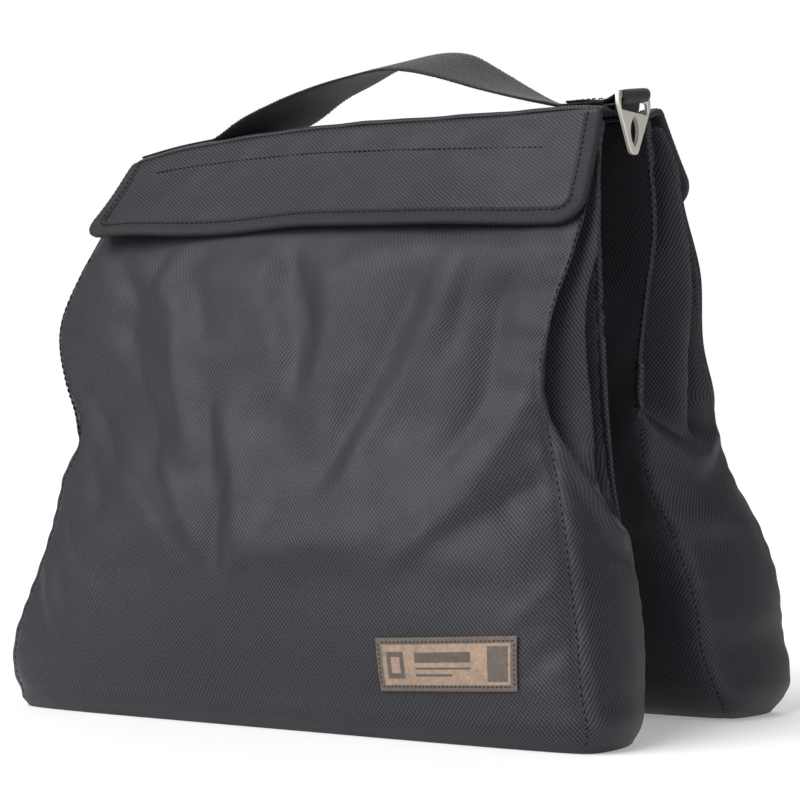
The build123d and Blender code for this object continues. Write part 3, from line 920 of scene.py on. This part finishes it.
def settle(name, loops, held, pressure, growth, cap, frames):
    """A short cloth run: the fabric is a little larger than its shape and pressed out by the sand."""
    rows, columns = loops.shape[:2]
    obj = piece(name, loops, quads(rows, columns, True))
    group = obj.vertex_groups.new(name="held")
    for index, weight in enumerate(held.ravel()):
        group.add([index], float(weight), "REPLACE")
    cloth = obj.modifiers.new("cloth", "CLOTH")
    settings = cloth.settings
    settings.quality = 5
    settings.mass = 0.15
    settings.tension_stiffness = settings.compression_stiffness = 12
    settings.shear_stiffness = 4
    settings.bending_stiffness = 0.6
    settings.tension_damping = settings.compression_damping = 8
    settings.air_damping = 2
    settings.vertex_group_mass = "held"
    settings.pin_stiffness = 0.6
    settings.shrink_min = -growth
    settings.use_pressure = True
    settings.uniform_pressure_force = pressure
    settings.effector_weights.gravity = 0
    cloth.collision_settings.use_collision = False
    scene = bpy.context.scene
    for number in range(1, frames + 1):
        scene.frame_set(number)
    made = obj.evaluated_get(bpy.context.evaluated_depsgraph_get()).to_mesh()
    moved = np.zeros(rows * columns * 3, np.float32)
    made.vertices.foreach_get("co", moved)
    scene.frame_set(1)
    bpy.data.objects.remove(obj)
    step = moved.reshape(rows, columns, 3).astype(float) / MM - loops
    for _ in range(2):
        step = (np.roll(step, 1, axis=1) + 2 * step + np.roll(step, -1, axis=1)) / 4
        soften(step, 1)
    size = np.linalg.norm(step, axis=-1, keepdims=True)
    return loops + step * np.minimum(1, cap / np.maximum(size, 1e-6)) * (1 - held[..., None])


def fill_pouch(side, loops):
    """The settled shape of a pouch whose seams, base and mouth are held."""
    held = np.zeros(loops.shape[:2])
    for corner in CORNERS[:-1]:
        for aside, weight in ((0, 1.0), (1, 0.6), (2, 0.25), (-1, 0.6), (-2, 0.25)):
            held[:, corner + aside] = np.maximum(held[:, corner + aside], weight)
    held[:2] = 1.0
    z = loops[..., 2]
    held = np.maximum(held, np.maximum(ease(236, 262, z), 0.6 * (1 - ease(40, 95, z))))
    loops = settle(side["name"] + "_settling", loops, held, pressure=0.4, growth=0.012, cap=5.0, frames=16)
    loops[..., 2] = np.maximum(loops[..., 2], 0.0)
    return loops


def rumple(grid, towards, sign):
    """Pulls a panel's seams in, puckers them and adds small unevenness, in place."""
    z = grid[..., 2]
    width = grid.shape[1]
    near = np.minimum(np.arange(width), np.arange(width)[::-1]) * 2.3
    groove = SEAM_DEPTH * np.exp(-near / SEAM_REACH)[None, :] * ease(-4, 10, z)
    grid -= (groove * (1 - 0.6 * ease(150, 200, z)))[..., None] * grid_normals(grid, towards)
    pucker = 0.55 * np.exp(-near / 7.0)[None, :] * np.sin(z / 1.9 + 3 * rough(grid, 30.0, 2.0))
    small = 0.16 * rough(grid, 14.0, 7.0) + 0.5 * rough(grid, 45.0, 3.0 + sign)
    lift = ease(0, 14, near)[None, :] * small + pucker * ease(0, 6, near)[None, :]
    lift = lift * ease(1, 12, z) * (1 - 0.7 * ease(240, 262, z))
    grid += lift[..., None] * grid_normals(grid, towards)
    grid[..., 2] = np.maximum(grid[..., 2], 0.0)


def shell_uv(whole):
    """The wrap's panels keep an even scale, and the gussets are true to the width of each row."""
    base_at = [height for _, height in BASE_LOOPS]
    heights = np.r_[base_at, np.linspace(0, 300, len(whole) - len(base_at))][:, None]
    closed = np.concatenate([whole, whole[:, :1]], axis=1)
    spans = []
    for index, begin in enumerate((0, 440, 600, 1040)):
        first, last = CORNERS[index] * FINE, CORNERS[index + 1] * FINE
        across = np.linspace(begin, begin + 330, last - first + 1)[None, :]
        if index % 2:
            width = np.linalg.norm(np.diff(closed[:, first : last + 1], axis=1), axis=-1)
            run = np.concatenate([np.zeros((len(closed), 1)), np.cumsum(width, axis=1)], axis=1)
            across = begin + run[:, -1:] / 2 - run
        spans.append(grid_uv(across, heights))
    return np.concatenate(spans, axis=1)


def make_pouch(side):
    """One sand pouch: wrap and gussets as one sewn shell, with its seams stitched."""
    name, sign = side["name"], side["sign"]
    levels = np.r_[0.0, 1.6, 4.0, 7.5, np.linspace(12.0, MOUTH, 60)]
    outer = panel_grid(side, "outer", levels, MOUTH, LONG + 1)
    inner = panel_grid(side, "inner", levels, INNER_TOP, LONG + 1)
    right = gusset_grid(side, "right", levels, SHORT + 1)
    left = gusset_grid(side, "left", levels, SHORT + 1)
    right[:, 0], right[:, -1] = outer[:, -1], inner[:, -1]
    left[:, 0], left[:, -1] = outer[:, 0], inner[:, 0]
    loops = pouch_loops([outer, right, inner[:, ::-1], left[:, ::-1]])
    loops = fill_pouch(side, loops)
    wrapped = np.concatenate([loops, loops[:, :1]], axis=1)
    fine = [refine(wrapped[:, a : b + 1], FINE, FINE) for a, b in zip(CORNERS, CORNERS[1:])]
    facing = [(0, sign, 0.2), (1, 0, 0), (0, -sign, 0), (-1, 0, 0)]
    for grid, towards in zip(fine, facing):
        rumple(grid, towards, sign)
    body = pouch_loops(fine)
    whole = np.concatenate([base_loops(body[0]), body])
    faces = quads(*whole.shape[:2], True)
    shell = piece(name + "_pouch_shell", whole, faces, shell_uv(whole), finishes["twill"])
    thicken(shell, FABRIC, -1.0)
    nodes = [name + "_pouch_wrap", name + "_left_gusset", name + "_right_gusset"]
    attach(shell, name + "_pouch", "twill", *nodes)
    sew_gussets(side, zip(fine[1::2], facing[1::2]))
    make_mouth(side, fine[0])


def sew_gussets(side, gussets):
    """The stitches down both seams of each gusset, in near-black thread at the bottom of the seam's groove:
    painted shade of the stitch holes.
    """
    rows = []
    for grid, towards in gussets:
        outwards = grid_normals(grid, towards)
        for column, inner in ((0, 1), (-1, -2)):
            chosen = (grid[:, column, 2] > 3) & (grid[:, column, 2] < MOUTH - 2)
            near = 0.7 if towards[0] > 0 or column else 0.2
            line = near * grid[chosen, column] + (1 - near) * grid[chosen, inner]
            line = line - (0.15 if near > 0.5 else 0.5) * outwards[chosen, inner]
            line[:, 0] -= 0.9 * towards[0] * ease(135, 160, line[:, 2])
            rows.append((line, outwards[chosen, inner]))
    name = side["name"] + "_seam_stitches_painted_shade"
    sewing = stitches(name, rows, finishes["seam_thread_painted_shade"], pitch=3.7, length=2.4, radius=0.42)
    attach(sewing, side["name"] + "_pouch", "binding")


def make_mouth(side, grid):
    """The hem of the outer panel's free edge and the loop tape below it."""
    name = side["name"]
    outwards = grid_normals(grid, (0, side["sign"], 0.5))
    top, up = grid[-1, 2:-2], outwards[-1, 2:-2]
    rise = unit(top - grid[-2, 2:-2])
    outer_face = [(-8.0, 0.1), (-7.8, 0.7), (-1.0, 0.8), (0.8, 0.3)]
    profile = outer_face + [(1.0, -0.6), (0.6, -1.6), (-1.0, -2.0), (-8.0, -1.9)]
    hem = band(name + "_mouth_hem", top, rise, up, profile, finishes["binding"])
    attach(hem, name + "_pouch", "binding")
    high = MOUTH - 6.0
    low = high - TAPE_HEIGHT * 0.86
    picked = (grid[:, 0, 2] > low + 2) & (grid[:, 0, 2] < high)
    across = np.abs(grid[-1, :, 0]) < TAPE_HALF
    strip = grid[picked][:, across] + (0.2 + TAPE_THICK / 2) * outwards[picked][:, across]
    rows, columns = strip.shape[:2]
    uv = quad_uv(np.linspace(0, TAPE_HEIGHT, rows), np.linspace(-TAPE_HALF, TAPE_HALF, columns))
    tape = cloth_piece(name + "_loop_strip", strip, uv, finishes["fastening_tape"], TAPE_THICK)
    attach(tape, name + "_pouch", "fastening_tape", name + "_loop_tape")


def middle_line(side, z):
    """How far back the middle of a pouch is at a height."""
    return (through(side["outer_middle"], z) + through(side["inner_middle"], z)) / 2


def sack_loops(side, z, half_length, half_depth, around, wrinkle=1.0):
    """Level loops round the middle of a pouch, with flattened sides and rounded ends."""
    corner = np.abs(np.cos(around)) ** 0.6 * np.sign(np.cos(around))
    depth = np.abs(np.sin(around)) ** 0.8 * np.sign(np.sin(around))
    x = half_length[:, None] * corner[None, :] * wrinkle
    y = middle_line(side, z)[:, None] + half_depth[:, None] * depth[None, :] * wrinkle
    return np.stack([x, y, np.broadcast_to(z[:, None], x.shape)], -1)


def make_liner(side):
    """The gathered liner bag and the cord round its neck."""
    name = side["name"]
    around = np.linspace(0, 2 * math.pi, LINER_STEPS + 1)[:-1]
    z = np.r_[6.0, np.linspace(8, 231, 90)]
    half_length, half_depth, gather = through(LINER, z).T
    wrinkle = 1 + gather[:, None] * (0.6 * np.sin(17 * around) + 0.4 * np.sin(27 * around + 1.3))[None, :]
    body = sack_loops(side, z, half_length, half_depth, around, wrinkle)
    foot = body[:1] * [0.7, 0, 1] + [0, middle_line(side, z[0]), 0]
    body[:, :, 2] += 2.0 * rough(body, 26.0, 4.0) * ease(90, 140, z)[:, None]
    whole = np.concatenate([foot, body])
    uv = quad_uv(np.r_[0, z], np.linspace(0, 480, LINER_STEPS + 1))
    bag = piece(name + "_liner", whole, quads(*whole.shape[:2], True), uv, finishes["liner"])
    thicken(bag, 0.6, -1.0)
    attach(bag, name + "_pouch", "liner", name + "_liner_bag")

    coil = np.linspace(0, TIE_TURNS * 2 * math.pi, 150)
    neck = float(middle_line(side, 204.0))
    rise = TIE_PITCH * coil / (2 * math.pi)
    path = np.stack([9.4 * np.cos(coil), neck + 8.2 * np.sin(coil), 201.5 + rise], -1)
    out = unit(path * [1, 1, 0] - [0, neck, 0])
    circle = [(TIE_R * math.cos(a), TIE_R * math.sin(a)) for a in np.linspace(0, 2 * math.pi, 9)[:-1]]
    tie = band(name + "_tie_cord", path, out, np.broadcast_to(UP, path.shape), circle, finishes["tie"])
    attach(tie, name + "_pouch", "tie", name + "_liner_tie")


def make_sand(side):
    """The sand inside the liner, heaped a little in the middle."""
    around = np.linspace(0, 2 * math.pi, LINER_STEPS + 1)[:-1]
    z = np.r_[8.0, np.linspace(12, 112, 30), 118.0]
    half_length, half_depth, _ = through(LINER, z).T
    rings = sack_loops(side, z, half_length - 2, half_depth - 2, around)
    caps = []
    for ring_row, shares, rise in ((rings[0], (0.02, 0.5), 0.0), (rings[-1], (0.75, 0.4, 0.02), 9.0)):
        centre = np.array([0.0, ring_row[:, 1].mean(), ring_row[0, 2]])
        caps.append([centre + (ring_row - centre) * share + rise * (1 - share) * UP for share in shares])
    heap = np.concatenate([caps[0], rings, caps[1]])
    heap[-4:, :, 2] += 2.5 * rough(heap[-4:], 30.0)
    faces = quads(*heap.shape[:2], True)
    sand = piece(side["name"] + "_sand", heap, faces, finish=finishes["sand"])
    attach(sand, side["name"] + "_pouch", "sand", side["name"] + "_sand_fill")


# ---- bridge, handle and loop ----
def make_bridge():
    """The fabric over the middle, with its two long edges turned down over the flaps' roots."""
    xs = np.linspace(-HALF_TOP, HALF_TOP, 121)
    half = (BRIDGE_HIGH[1] - BRIDGE_LOW[1]) / 2 + 2.4
    margin = half - np.array([0.0, 0.8, 2.0])
    across = np.r_[-margin, np.linspace(4 - half, half - 4, 17), margin[::-1]]
    y, x = np.meshgrid(across, xs, indexing="ij")
    edge = half - np.abs(y)
    fall = 2.2 * np.exp(-edge / 1.3)
    rounded = 2.5 * np.exp(-(HALF_TOP - np.abs(x)) / 4.0)
    x = x * (1 - 0.006 * np.exp(-edge / 4))
    z = ridge_height(x) + 0.95 - fall - 0.8 * (1 - (y / half) ** 2) - rounded
    grid = np.stack([x, RIDGE_Y + y, z], -1)
    grid[..., 2] += 0.5 * rough(grid, 18.0, 9.0)
    sheet = cloth_piece("bridge_fabric", grid, quad_uv(across, xs), finishes["twill"], FABRIC)
    attach(sheet, "saddle", "twill", "saddle_bridge")
    rows = []
    along = xs[3:-3]
    for aside in (6.0 - half, half - 6.0):
        line = np.stack([along, np.full_like(along, RIDGE_Y + aside), ridge_height(along) + 1.15], -1)
        rows.append(stitch_row(line, UP))
    sewing = stitches("bridge_stitches", rows, finishes["thread"])
    attach(sewing, "saddle", "binding")


def strap_edge(x, y, z):
    """One edge of a strap as rows of (x, y, z)."""
    return np.column_stack([x, np.full_like(x, y), z])


def strap_grid(near, far):
    """A strap's middle surface between its near and far edges."""
    share = np.linspace(0, 1, 17)[None, :, None]
    return near[:, None] + (far - near)[:, None] * share


def webbing_piece(name, grid, finish, thickness):
    """A strap from its middle surface, with bowed faces and saw-toothed edges."""
    up = grid_normals(grid, (0, 0, 1))
    rows, columns = grid.shape[:2]
    along = travelled(grid[:, columns // 2])
    aside = grid[:, -1] - grid[:, 0]
    width = np.linalg.norm(aside, axis=1, keepdims=True)
    tooth = 0.32 * np.sign(np.sin(2 * math.pi * along / WEBBING_PITCH))[:, None] * aside / width
    grid = grid.copy()
    grid[:, 0] -= tooth
    grid[:, -1] += tooth
    half = thickness / 2 * (1 - 0.55 * np.abs(np.linspace(-1, 1, columns)) ** 8)
    bow = up * half[None, :, None]
    loops = np.concatenate([grid + bow, (grid - bow)[:, ::-1]], axis=1)
    around = np.r_[np.arange(columns), 100 + np.arange(columns), 200] * float(width.mean()) / (columns - 1)
    uv = quad_uv(along, around)[..., ::-1]
    caps = []
    for start in (0, (rows - 1) * 2 * columns):
        last = start + 2 * columns - 1
        caps += [(start + c, start + c + 1, last - c - 1, last - c) for c in range(columns - 1)]
    uv = np.r_[uv.ravel(), np.zeros(8 * len(caps))]
    return piece(name, loops, list(quads(rows, 2 * columns, True)) + caps, uv, finish)


def make_handle():
    """The grab handle, in two halves, each flat over its sewn end and arching up from its foot, and the ends
    sewn to the bridge.
    """
    left, right = cad("handle_left_end")[0][0], cad("handle_right_end")[1][0]
    near_y, far_y = RIDGE_Y - WEBBING / 2, RIDGE_Y + WEBBING / 2
    left_foot, right_foot = HANDLE_NEAR[0][0], HANDLE_NEAR[-1][0]
    centre = (left_foot + right_foot) / 2
    # (end, foot, sewn end, the arch's start and stop, reach of the bend, the sewn box, CAD nodes)
    for end, foot, tail, start, stop, reach, box, nodes in (
        ("left", left_foot, left, left_foot, HANDLE_APEX, 34.0, (left + 5.0, left_foot - 5.0),
         ["handle_left_end", "handle_strap"]),
        ("right", right_foot, right, HANDLE_APEX, right_foot, -26.0, (right - 26.0, right_foot + 3.0),
         ["handle_right_end"]),
    ):
        xs = np.arange(start, stop + 0.01, (stop - start) / round((stop - start) / STRAP_STEP))
        lag = 6.0 * np.clip(1 - ((xs - centre) / (right_foot - centre)) ** 2, 0, 1)
        near = strap_edge(xs - lag / 2, near_y, through(HANDLE_NEAR, xs - lag / 2) + 1.0)
        far = strap_edge(xs + lag / 2, far_y, through(HANDLE_FAR, xs + lag / 2) + 1.0)
        arch = strap_grid(near, far)
        flat_x = np.arange(min(foot, tail), max(foot, tail), STRAP_STEP)
        flat = strap_grid(*(strap_edge(flat_x, y, ridge_height(flat_x) + 2.1) for y in (near_y, far_y)))
        grid = np.concatenate([flat, arch[1:]] if end == "left" else [arch, flat[1:]])
        soften(grid, 6)
        strap = webbing_piece("handle_" + end, grid, finishes["webbing"], WEBBING_THICK)
        attach(strap, None, "webbing", *nodes)
        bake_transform(strap)
        rows = box_stitch(box, (near_y + 4.5, far_y - 4.5), 2.85)
        sewing = stitches("handle_" + end + "_stitches", rows, finishes["thread"])
        attach(sewing, "saddle", "webbing")


def box_stitch(x, y, rise):
    """A sewn box with its two diagonals, between two x and two y, lying on the ridge."""
    corners = [(x[0], y[0]), (x[1], y[0]), (x[1], y[1]), (x[0], y[1])]
    lines = list(zip(corners, corners[1:] + corners[:1])) + list(zip(corners[:2], corners[2:]))
    rows = []
    for a, b in lines:
        flat = np.linspace(a, b, 40)
        rows.append(stitch_row(np.column_stack([flat, ridge_height(flat[:, 0]) + rise]), UP))
    return rows


def make_loop():
    """The webbing loop that holds the ring's bar, folded back and sewn on the strap's end."""
    start = cad("ring_tab")[0][0]
    high, deep = 3.1, 2.5
    turn = np.linspace(math.pi / 2, -math.pi / 2, 22)
    straight = np.linspace(start, LOOP_X - 9.0, 26)
    ridge = ridge_height(straight)
    upper = np.stack([straight, ridge + 4.6 + 0.4 * ease(LOOP_X - 22, LOOP_X - 9, straight)], -1)
    arc = np.stack([LOOP_X + deep * np.cos(turn), LOOP_Z + 0.4 + high * np.sin(turn)], -1)
    lower = np.stack([straight, ridge + 3.2], -1)[::-1]
    line = np.concatenate([upper, arc, lower])
    keys = np.arange(len(line), dtype=float)
    line = hermite(keys, line, np.linspace(0, keys[-1], 150))
    soften(line, 10)
    step = unit(np.gradient(line, axis=0))
    path = strap_edge(line[:, 0], RIDGE_Y, line[:, 1])
    ups = strap_edge(-step[:, 1], 0.0, step[:, 0])
    lean = LOOP_LEAN * ease(start + 8, LOOP_X - 6, line[:, 0])
    sides = np.stack([np.zeros(len(path)), np.ones(len(path)), lean], -1)
    share = np.linspace(-1, 1, 13)
    bow = TAB_THICK / 2 * (1 - 0.5 * np.abs(share) ** 6)
    face = list(zip(share * TAB_WIDTH / 2, bow))
    profile = face + [(aside, -up) for aside, up in face[::-1]]
    loop = band("ring_loop", path, sides, ups, profile, finishes["webbing"])
    attach(loop, "saddle", "webbing", "ring_tab")
    down = np.linspace(0, 1, 14)
    tail = strap_edge(LOOP_X - 2.6 - 1.2 * down**2, RIDGE_Y, LOOP_Z - 1.0 - 6.5 * down)
    aside, back = (np.broadcast_to(way, tail.shape) for way in (sides[-1], [1.0, 0.0, -0.2]))
    narrow = [(0.86 * across, up) for across, up in profile]
    end = band("ring_loop_tail", tail, aside, back, narrow, finishes["webbing"])
    attach(end, "saddle", "webbing")
    rows = box_stitch((start + 3.0, LOOP_X - 13.0), (RIDGE_Y - 9.0, RIDGE_Y + 9.0), 5.4)
    sewing = stitches("ring_loop_stitches", rows, finishes["thread"])
    attach(sewing, "saddle", "webbing")


# ---- label ----
def make_label():
    """The woven label on the front pouch, laid on the panel's own surface."""
    low, high = cad("label_patch")
    middle = (low + high) / 2
    half_length, half_height = HALF_LABEL
    columns, rows = 60, 24
    shell = bpy.data.objects["front_pouch_shell"]
    tree = BVHTree.FromObject(shell, bpy.context.evaluated_depsgraph_get())
    us = np.linspace(-half_length, half_length, columns + 1)
    vs = np.linspace(-half_height, half_height, rows + 1)
    v, u = np.meshgrid(vs, us, indexing="ij")
    x = middle[0] + u * math.cos(LABEL_TILT) - v * math.sin(LABEL_TILT)
    z = middle[2] + u * math.sin(LABEL_TILT) + v * math.cos(LABEL_TILT)
    y = np.zeros(u.shape)
    for index in np.ndindex(u.shape):
        start = Vector((x[index], low[1] - 40, z[index])) * MM
        y[index] = tree.ray_cast(start, Vector((0, 1, 0)))[0].y / MM
    terms = np.stack([np.ones_like(u), u, v, u * u, v * v, u * v], -1).reshape(-1, 6)
    fit = (terms @ np.linalg.lstsq(terms, y.ravel(), rcond=None)[0]).reshape(u.shape)
    grid = np.stack([x, np.minimum(fit, y - 0.2) - 0.5, z], -1)
    label = cloth_piece("woven_label", grid, quad_uv(vs, us), finishes["label"], 1.0)
    bevel = label.modifiers.new("edge", "BEVEL")
    bevel.width = 0.25 * MM
    bevel.segments = 2
    bevel.limit_method = "ANGLE"
    apply_modifiers(label)
    attach(label, "front_pouch", "label", "label_patch")
    inset = 1.6
    out = -np.array([0.0, 1.0, 0.0])
    sewn = []
    around = np.array([(-1, -1), (1, -1), (1, 1), (-1, 1), (-1, -1)])
    for corner, following in zip(around, around[1:]):
        place = np.linspace(corner, following, 60) * (half_length - inset, half_height - inset)
        shares = (place + HALF_LABEL) / (2 * half_length, 2 * half_height)
        column, row = np.round(shares * (columns, rows)).astype(int).T
        sewn.append(stitch_row(grid[row, column] + 0.55 * out, out))
    sewing = stitches("label_stitches", sewn, finishes["label_thread"], pitch=2.2, length=1.5, radius=0.26)
    attach(sewing, "front_pouch", "label")


# ---- stage ----
def make_stage():
    """A pale floor, a plain white surround, soft lights and the camera."""
    white = rgb(1.0, 1.0, 1.0)
    xs = np.linspace(-40000, 40000, 9)
    grid = np.array([[(x, y, -0.2) for x in xs] for y in xs])
    paper = Nodes("pale_paper")
    colour = paper.tint((0.68, 0.68, 0.68), paper.mottled(3.0, 0.985, 1.0, detail=2.0))
    finish = paper.surface(colour, 0.9, Emission_Color=white, Emission_Strength=0.26)
    piece("paper_floor", grid, quads(*grid.shape[:2]), finish=finish)

    world = bpy.data.worlds.new("studio")
    world.use_nodes = True
    nodes = world.node_tree.nodes
    links = world.node_tree.links
    light = nodes["Background"]
    wall = nodes.new("ShaderNodeBackground")
    for shade, strength in ((light, 0.14), (wall, 1.0)):
        shade.inputs["Color"].default_value = white
        shade.inputs["Strength"].default_value = strength
    choice = nodes.new("ShaderNodeMixShader")
    links.new(nodes.new("ShaderNodeLightPath").outputs["Is Camera Ray"], choice.inputs[0])
    links.new(light.outputs[0], choice.inputs[1])
    links.new(wall.outputs[0], choice.inputs[2])
    links.new(choice.outputs[0], nodes["World Output"].inputs["Surface"])
    bpy.context.scene.world = world
    bpy.context.scene.view_settings.view_transform = "Standard"

    # (name, where it shines from, spread in degrees, strength)
    for name, place, spread, power in (
        ("key", (-0.4, -1.0, 0.84), 58, 4.2),
        ("side", (1.0, -0.4, 0.3), 40, 0.9),
        ("top", (0.0, 0.3, 1.0), 70, 0.3),
        ("back", (-0.5, 1.0, 0.7), 60, 1.2),
    ):
        lamp = bpy.data.lights.new(name, "SUN")
        lamp.angle = math.radians(spread)
        lamp.energy = power
        obj = bpy.data.objects.new(name, lamp)
        obj.location = Vector(place)
        obj.rotation_euler = Vector(place).to_track_quat("Z", "Y").to_euler()
        bpy.context.scene.collection.objects.link(obj)

    camera = bpy.data.objects.new("camera", bpy.data.cameras.new("camera"))
    camera.data.lens = CAMERA_LENS
    camera.data.sensor_width = 36.0
    camera.location = Vector(CAMERA_PLACE) * MM
    aim = Vector(CAMERA_AIM) * MM
    camera.rotation_euler = (aim - camera.location).to_track_quat("-Z", "Y").to_euler()
    bpy.context.scene.collection.objects.link(camera)
    bpy.context.scene.camera = camera


# ---- the scene ----
for side, folds in ((FRONT, FRONT_FOLDS), (REAR, REAR_FOLDS)):
    side["hinge"] = float(JOINTS[side["name"] + "_flap_lift"][1])
    side["folds"] = folds
    make_pouch(side)
    make_liner(side)
    make_sand(side)
    make_flap(side)
make_bridge()
make_handle()
make_loop()
make_label()
ring = frame["nodes"]["hanger_ring"]
ring.data.materials.clear()
ring.data.materials.append(finishes["ring_steel"])
make_stage()
